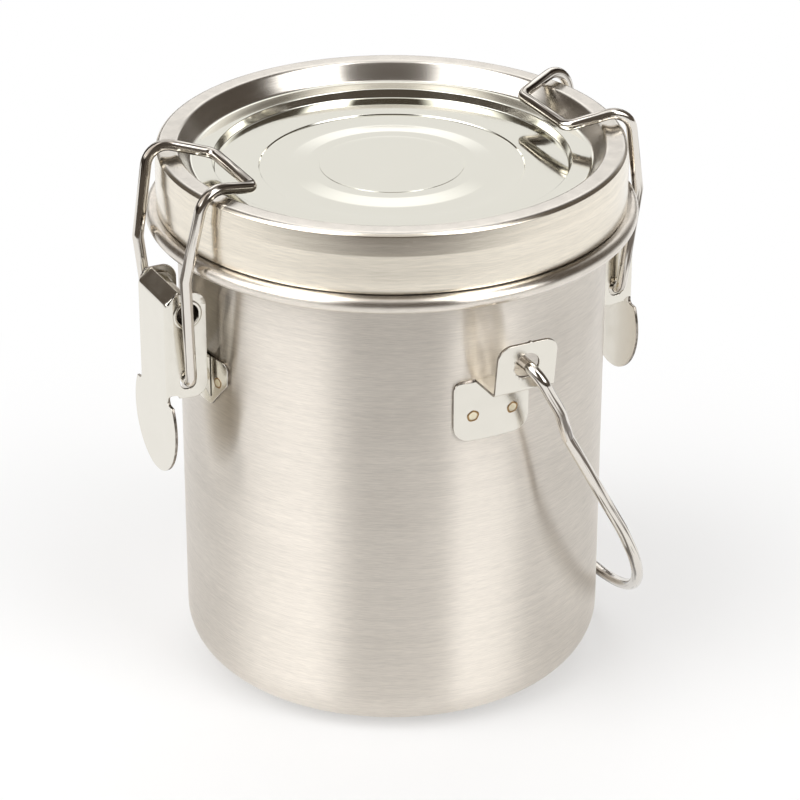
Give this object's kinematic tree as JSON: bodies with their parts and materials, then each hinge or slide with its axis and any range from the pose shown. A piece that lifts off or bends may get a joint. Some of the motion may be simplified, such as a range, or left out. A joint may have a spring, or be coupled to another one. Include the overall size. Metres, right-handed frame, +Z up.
{
  "type": "food canister",
  "caption": "Round steel food canister with a clamped lid, a silicone gasket, over-centre wire latches and a swinging wire bail handle.",
  "frame": {"origin": "middle of the can's flat base", "axes": "+Z up along the can's axis, latches on -X (left) and +X (right), handle ears on -Y (front) and +Y (rear); the bail rests on the +X side"},
  "size_m": [0.1464, 0.1618, 0.1598],
  "materials": {
    "can_steel": "fine horizontal satin brushing on stainless steel",
    "lid_steel": "satin skirt with a mirror-polished panel, stainless steel",
    "silicone": "matt translucent white silicone",
    "wire_steel": "bright drawn stainless wire",
    "lever_steel": "tumbled bright stainless sheet",
    "bracket_steel": "bright stainless sheet",
    "ear_steel": "bright stainless sheet",
    "weld": "spot weld with a straw-coloured heat ring"
  },
  "bodies": {
    "canister": {"canister_body": "can_steel", "left_latch_bracket": "bracket_steel", "left_bracket_welds": "weld", "left_latch_pin": "bracket_steel", "right_latch_bracket": "bracket_steel", "right_bracket_welds": "weld", "right_latch_pin": "bracket_steel", "front_handle_ear": "ear_steel", "front_ear_welds": "weld", "rear_handle_ear": "ear_steel", "rear_ear_welds": "weld"},
    "lid": {"lid": "lid_steel", "lid_gasket": "silicone"},
    "left_lever": {"left_latch_lever": "lever_steel"},
    "left_wire": {"left_latch_wire": "wire_steel"},
    "right_lever": {"right_latch_lever": "lever_steel"},
    "right_wire": {"right_latch_wire": "wire_steel"},
    "bail": {"bail_handle": "wire_steel"}
  },
  "joints": [
    {"name": "lid_turn", "type": "hinge", "parent": "canister", "child": "lid", "pos_m": [0, 0, 0.1502], "axis": [0, 0, 1], "continuous": true},
    {"name": "left_lever_swing", "type": "hinge", "parent": "canister", "child": "left_lever", "pos_m": [-0.067, 0, 0.1204], "axis": [0, 1, 0], "range_deg": [0, 120]},
    {"name": "left_wire_swing", "type": "hinge", "parent": "left_lever", "child": "left_wire", "pos_m": [-0.0673, 0, 0.1004], "axis": [0, 1, 0], "range_deg": [-79.2, 0]},
    {"name": "right_lever_swing", "type": "hinge", "parent": "canister", "child": "right_lever", "pos_m": [0.067, 0, 0.1204], "axis": [0, -1, 0], "range_deg": [0, 120]},
    {"name": "right_wire_swing", "type": "hinge", "parent": "right_lever", "child": "right_wire", "pos_m": [0.0673, 0, 0.1004], "axis": [0, -1, 0], "range_deg": [-79.2, 0]},
    {"name": "bail_swing", "type": "hinge", "parent": "canister", "child": "bail", "pos_m": [0.0033, 0, 0.1173], "axis": [0, -1, 0], "range_deg": [0, 298]}
  ],
  "couplings": [
    {"joint": "left_wire_swing", "follows": "left_lever_swing", "ratio": -0.66},
    {"joint": "right_wire_swing", "follows": "right_lever_swing", "ratio": -0.66}
  ]
}
